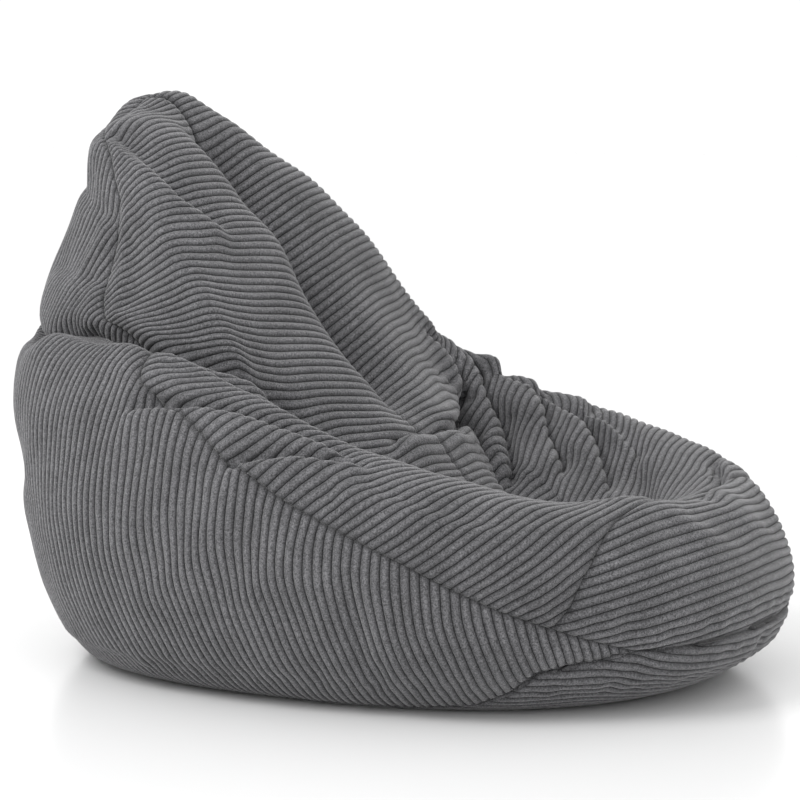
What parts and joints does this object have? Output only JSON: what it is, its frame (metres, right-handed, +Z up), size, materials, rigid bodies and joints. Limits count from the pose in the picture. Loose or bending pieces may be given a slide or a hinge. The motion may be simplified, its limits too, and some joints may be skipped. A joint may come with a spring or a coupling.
{
  "type": "bean bag chair",
  "caption": "Large floor bean bag chair in wide-wale corduroy, with a hooded back, a hollowed seat between soft arms, a zipped cover and a zipped inner liner.",
  "frame": {"origin": "on the floor under the middle of the chair's bounding box", "axes": "+Z up, +Y towards the back and the hood, -Y the way the sitter faces, +X to the sitter's left"},
  "size_m": [0.92, 1.13, 0.797],
  "materials": {
    "corduroy": "matt wide-wale corduroy with a soft pile",
    "liner_fabric": "plain woven polyester",
    "zip_tape": "woven tape",
    "zip_coil": "nylon coil",
    "zip_slider": "painted die-cast metal",
    "beads": "expanded polystyrene beads"
  },
  "bodies": {
    "chair": {"cover_back_panel": "corduroy", "cover_left_panel": "corduroy", "cover_right_panel": "corduroy", "cover_front_panel": "corduroy", "cover_base_front": "corduroy", "cover_base_rear": "corduroy", "cover_zip_tape_front": "zip_tape", "cover_zip_coil_front": "zip_coil", "cover_zip_tape_rear": "zip_tape", "cover_zip_coil_rear": "zip_coil", "cover_zip_top_stop": "zip_coil", "cover_zip_bottom_stop": "zip_coil", "liner_left_panel": "liner_fabric", "liner_right_panel": "liner_fabric", "liner_base_front": "liner_fabric", "liner_base_rear": "liner_fabric", "liner_zip_tape_front": "zip_tape", "liner_zip_coil_front": "zip_coil", "liner_zip_tape_rear": "zip_tape", "liner_zip_coil_rear": "zip_coil", "liner_zip_top_stop": "zip_coil", "liner_zip_bottom_stop": "zip_coil", "bead_fill": "beads"},
    "cover_slider": {"cover_zip_slider": "zip_slider"},
    "liner_slider": {"liner_zip_slider": "zip_slider"}
  },
  "joints": [
    {"name": "cover_zip_slide", "type": "slide", "parent": "chair", "child": "cover_slider", "axis": [1, 0, 0], "range_m": [0, 0.54]},
    {"name": "liner_zip_slide", "type": "slide", "parent": "chair", "child": "liner_slider", "axis": [1, 0, 0], "range_m": [0, 0.29]}
  ]
}
